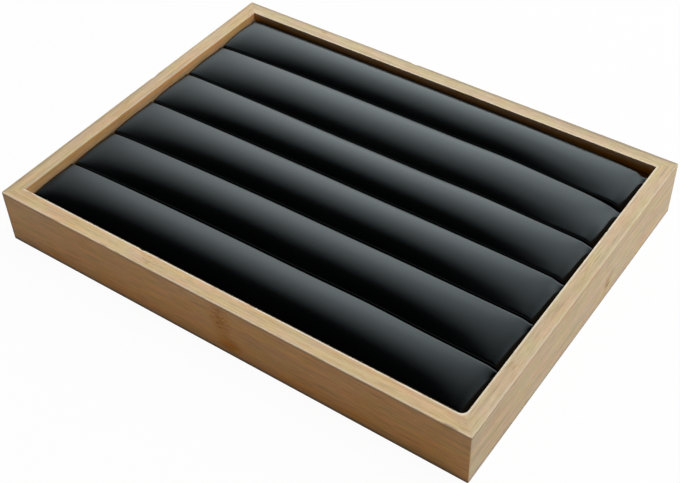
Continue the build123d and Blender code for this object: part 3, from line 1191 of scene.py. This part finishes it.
def settled_form(number, look):
    """Outer surface of a roll once its cover has swelled and its ends are shaped."""
    if number in settled_forms:
        return settled_forms[number]
    start = RollForm(number, look, look.room_to_swell)
    goal = RollForm(number, look, 0.0)
    mesh = start.mesh(f"settled_roll_{number}")
    piece = bpy.data.objects.new(mesh.name, mesh)
    bpy.context.scene.collection.objects.link(piece)
    held = [v.index for v in mesh.vertices if v.co.z < start.base + 0.1 * MM or abs(v.normal.y) > 0.5]
    swell(piece, held, SWELL_LIMIT, look)
    fill_slots(mesh, start, goal)
    shape_ends(mesh, goal)
    bpy.data.objects.remove(piece)
    settled_forms[number] = mesh
    return mesh


def with_modifiers(mesh, name, *modifiers):
    """Copy of a mesh with modifiers applied, each given as (kind, settings)."""
    piece = bpy.data.objects.new(name, mesh.copy())
    bpy.context.scene.collection.objects.link(piece)
    for kind, settings in modifiers:
        modifier = piece.modifiers.new(kind.lower(), kind)
        for key, value in settings.items():
            setattr(modifier, key, value)
    result = bpy.data.meshes.new_from_object(piece.evaluated_get(bpy.context.evaluated_depsgraph_get()))
    bpy.data.objects.remove(piece)
    result.name = name
    return result


def opened_underneath(mesh, base):
    """Takes away the faces that lie on the board, where a cover is only glued down at its edges."""
    bm = bmesh.new()
    bm.from_mesh(mesh)
    lying = [face for face in bm.faces if all(v.co.z < base + 0.05 * MM for v in face.verts)]
    bmesh.ops.delete(bm, geom=lying, context="FACES")
    bm.to_mesh(mesh)
    bm.free()
    return mesh


class RINGTRAY_OT_rails(bpy.types.Operator):
    """Four mitred bamboo rails"""

    bl_idname = "ringtray.rails"
    bl_label = "Bamboo Rails"

    def execute(self, context):
        look = context.scene.ring_tray_frame
        material = bamboo_material(look)
        for side in RAILS:
            piece = finished_object("bamboo_rail_" + side, rail_mesh(side, look), material, sharp_over=50)
            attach(piece, "tray")
            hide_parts("rail_" + side)
        return {"FINISHED"}


class RINGTRAY_OT_joinery(bpy.types.Operator):
    """Finishes of the floor panel and of the tongues in the mitres"""

    bl_idname = "ringtray.joinery"
    bl_label = "Panel and Tongues"

    def execute(self, context):
        look = context.scene.ring_tray_frame
        panel = sawn_bamboo_material("bamboo_veneer", look, 0.35, (0, 0, 0), 9 * MM)
        along_z = (0, math.radians(90), 0)
        tongue = sawn_bamboo_material("sawn_bamboo", look, 0.5, along_z, 5 * MM)
        for name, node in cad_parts.items():
            if name == "base_panel":
                give_finish(node, panel)
            elif name.startswith("corner_tongue_"):
                give_finish(node, tongue)
        return {"FINISHED"}


class RINGTRAY_OT_board(bpy.types.Operator):
    """Finish of the board that carries the rolls"""

    bl_idname = "ringtray.board"
    bl_label = "Pad Board"

    def execute(self, context):
        give_finish(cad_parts["insert_board"], board_material())
        return {"FINISHED"}


class RINGTRAY_OT_foam(bpy.types.Operator):
    """Foam cores inside the rolls"""

    bl_idname = "ringtray.foam"
    bl_label = "Foam Cores"

    def execute(self, context):
        look = context.scene.ring_tray_rolls
        material = foam_material(look)
        skin = look.leather_thickness + CORE_CLEARANCE
        for number in roll_numbers:
            mesh = settled_form(number, look).copy()
            mesh.name = f"foam_block_{number}"
            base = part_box(f"foam_core_{number}")[0].z
            normals = [vertex.normal.copy() for vertex in mesh.vertices]
            for vertex, normal in zip(mesh.vertices, normals):
                vertex.co -= skin * normal
                vertex.co.z = max(vertex.co.z, base)
                if normal.z < -0.9:
                    vertex.co.z = base
            piece = finished_object(mesh.name, mesh, material, sharp_over=50)
            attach(piece, "insert")
            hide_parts(f"foam_core_{number}")
        return {"FINISHED"}


class RINGTRAY_OT_rolls(bpy.types.Operator):
    """Leathercloth covers of the rolls"""

    bl_idname = "ringtray.rolls"
    bl_label = "Ring Rolls"

    def execute(self, context):
        look = context.scene.ring_tray_rolls
        material = leathercloth_material(look)
        for number in roll_numbers:
            name = f"ring_roll_{number}"
            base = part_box(f"leather_cover_{number}")[0].z
            smoother = {"levels": 1, "render_levels": 1}
            outer = with_modifiers(settled_form(number, look), name, ("SUBSURF", smoother))
            outer = opened_underneath(outer, base)
            thickness = {"thickness": look.leather_thickness, "offset": -1.0, "use_even_offset": True}
            mesh = with_modifiers(outer, name, ("SOLIDIFY", thickness))
            piece = finished_object(name, mesh, material, sharp_over=60)
            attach(piece, "insert")
            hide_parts(f"leather_cover_{number}")
        return {"FINISHED"}


def floor_material(look):
    """Pale floor that looks near white and keeps the shadow of the tray."""
    material = bpy.data.materials.new("pale_floor")
    material.use_nodes = True
    tree = material.node_tree
    tree.nodes.clear()
    path = place(tree, "ShaderNodeLightPath").outputs
    seen = maths(tree, "MAXIMUM", path["Is Camera Ray"], path["Is Glossy Ray"])
    seen = maths(tree, "MAXIMUM", seen, path["Is Transmission Ray"])
    share = maths(tree, "MULTIPLY", seen, look.floor_white)
    matt = place(tree, "ShaderNodeBsdfDiffuse", {"Color": (0.82, 0.82, 0.82, 1.0)}).outputs[0]
    white = place(tree, "ShaderNodeEmission", {"Color": WHITE, "Strength": 1.0}).outputs[0]
    mixed = place(tree, "ShaderNodeMixShader", {0: share, 1: matt, 2: white}).outputs[0]
    place(tree, "ShaderNodeOutputMaterial", {"Surface": mixed})
    return material


def white_room(look):
    """World: white to the camera, walls under a dark ceiling in gloss, an even dim light elsewhere."""
    world = bpy.data.worlds.new("white_room")
    world.use_nodes = True
    tree = world.node_tree
    tree.nodes.clear()
    path = place(tree, "ShaderNodeLightPath").outputs
    direction = place(tree, "ShaderNodeTexCoord").outputs["Generated"]
    parts = place(tree, "ShaderNodeSeparateXYZ", {0: direction}).outputs
    below_ceiling = eased(tree, parts["Z"], math.sin(look.ceiling), math.sin(look.wall_top))
    wall = maths(tree, "MULTIPLY", below_ceiling, look.wall_level)
    in_front = maths(tree, "MULTIPLY", eased(tree, parts["Y"], -0.25, -0.75), look.front_level)
    sideways = maths(tree, "ABSOLUTE", parts["X"], 0.0)
    at_side = maths(tree, "MULTIPLY", eased(tree, sideways, 0.55, 0.90), look.side_level)
    pale = maths(tree, "MAXIMUM", in_front, at_side)
    pale = maths(tree, "MULTIPLY", pale, banded(tree, parts["Z"], *PALE_WALL_HEIGHTS))
    wall = maths(tree, "MAXIMUM", wall, pale)
    mirrored = maths(tree, "MAXIMUM", path["Is Glossy Ray"], path["Is Transmission Ray"])
    room = place(tree, "ShaderNodeMix", {0: mirrored, 2: look.ambient, 3: wall}).outputs[0]
    level = place(tree, "ShaderNodeMix", {0: path["Is Camera Ray"], 2: room, 3: 1.0}).outputs[0]
    light = place(tree, "ShaderNodeBackground", {"Color": WHITE, "Strength": level}).outputs[0]
    place(tree, "ShaderNodeOutputWorld", {"Surface": light})
    return world


def faded(lamp, *fades):
    """Makes a lamp panel fade, each time along an axis from one share of it, full, to another, dark."""
    lamp.use_nodes = True
    tree = lamp.node_tree
    tree.nodes.clear()
    across = place(tree, "ShaderNodeNewGeometry").outputs["Parametric"]
    shares = place(tree, "ShaderNodeSeparateXYZ", {0: across}).outputs
    level = 1.0
    for axis, full, dark in fades:
        feeds = {"Value": shares[axis], "From Min": full, "From Max": dark, "To Min": 1.0, "To Max": 0.0}
        level = maths(tree, "MULTIPLY", place(tree, "ShaderNodeMapRange", feeds).outputs["Result"], level)
    glow = place(tree, "ShaderNodeEmission", {"Color": WHITE, "Strength": level}).outputs[0]
    place(tree, "ShaderNodeOutputLight", {"Surface": glow})


def lamp_panel(name, azimuth, elevation, distance, width, height, glow):
    """Soft lamp aimed at the tray. Azimuth 0 is in front, 90 at the right; glow 1 is plain white."""
    turn, rise = math.radians(azimuth), math.radians(elevation)
    away = Vector((math.sin(turn) * math.cos(rise), -math.cos(turn) * math.cos(rise), math.sin(rise)))
    lamp = bpy.data.lights.new(name, "AREA")
    lamp.shape = "RECTANGLE"
    lamp.size = width
    lamp.size_y = height
    lamp.energy = glow * math.pi * width * height
    holder = bpy.data.objects.new(name, lamp)
    holder.location = away * distance
    holder.rotation_euler = away.to_track_quat("Z", "Y").to_euler()
    holder.visible_camera = False
    bpy.context.scene.collection.objects.link(holder)
    return holder


class RINGTRAY_OT_stage(bpy.types.Operator):
    """Camera, lamps, white room and floor"""

    bl_idname = "ringtray.stage"
    bl_label = "Stage"

    def execute(self, context):
        look = context.scene.ring_tray_stage
        scene = context.scene
        camera_data = bpy.data.cameras.new("photo_view")
        camera_data.sensor_width = 36.0
        camera_data.lens = look.lens
        camera = bpy.data.objects.new("photo_view", camera_data)
        camera.location = CAMERA_PLACE
        camera.rotation_euler = Euler([math.radians(angle) for angle in CAMERA_TURN])
        scene.collection.objects.link(camera)
        scene.camera = camera

        key = lamp_panel("key_softbox", *KEY_SOFTBOX, look.key_glow)
        key.visible_glossy = False
        window = lamp_panel("rear_window", *REAR_WINDOW, look.window_glow)
        window.data.color = WINDOW_TINT
        faded(window.data, *WINDOW_FADES)
        scene.world = white_room(look)
        scene.view_settings.view_transform = "Standard"

        bm = bmesh.new()
        bmesh.ops.create_grid(bm, x_segments=4, y_segments=4, size=FLOOR_REACH)
        mesh = bpy.data.meshes.new("floor")
        bm.to_mesh(mesh)
        bm.free()
        mesh.materials.append(floor_material(look))
        floor = bpy.data.objects.new("floor", mesh)
        scene.collection.objects.link(floor)
        return {"FINISHED"}


class RINGTRAY_PT_sidebar(bpy.types.Panel):
    """Steps that make the tray, with their sizes and colours"""

    bl_idname = "RINGTRAY_PT_sidebar"
    bl_label = "Ring Display Tray"
    bl_space_type = "VIEW_3D"
    bl_region_type = "UI"
    bl_category = "Ring Tray"

    def draw(self, context):
        for operator in OPERATORS:
            self.layout.operator(operator.bl_idname)
        scene = context.scene
        for group in (scene.ring_tray_frame, scene.ring_tray_rolls, scene.ring_tray_stage):
            box = self.layout.box()
            for name in group.__annotations__:
                box.prop(group, name)


OPERATORS = (
    RINGTRAY_OT_stage,
    RINGTRAY_OT_rails,
    RINGTRAY_OT_joinery,
    RINGTRAY_OT_board,
    RINGTRAY_OT_foam,
    RINGTRAY_OT_rolls,
)
CLASSES = (FrameLook, RollLook, StageLook, *OPERATORS, RINGTRAY_PT_sidebar)


def register():
    """Registers the classes and hangs the sizes and colours on the scene."""
    for item in CLASSES:
        bpy.utils.register_class(item)
    bpy.types.Scene.ring_tray_frame = PointerProperty(type=FrameLook)
    bpy.types.Scene.ring_tray_rolls = PointerProperty(type=RollLook)
    bpy.types.Scene.ring_tray_stage = PointerProperty(type=StageLook)


def unregister():
    """Takes back what register made."""
    del bpy.types.Scene.ring_tray_stage
    del bpy.types.Scene.ring_tray_rolls
    del bpy.types.Scene.ring_tray_frame
    for item in reversed(CLASSES):
        bpy.utils.unregister_class(item)


def main():
    """Makes every piece and the stage, and notes the box of the CAD and of the visual model."""
    register()
    bpy.ops.ringtray.stage()
    bpy.ops.ringtray.rails()
    bpy.ops.ringtray.joinery()
    bpy.ops.ringtray.board()
    bpy.ops.ringtray.foam()
    bpy.ops.ringtray.rolls()


if __name__ == "__main__":
    main()
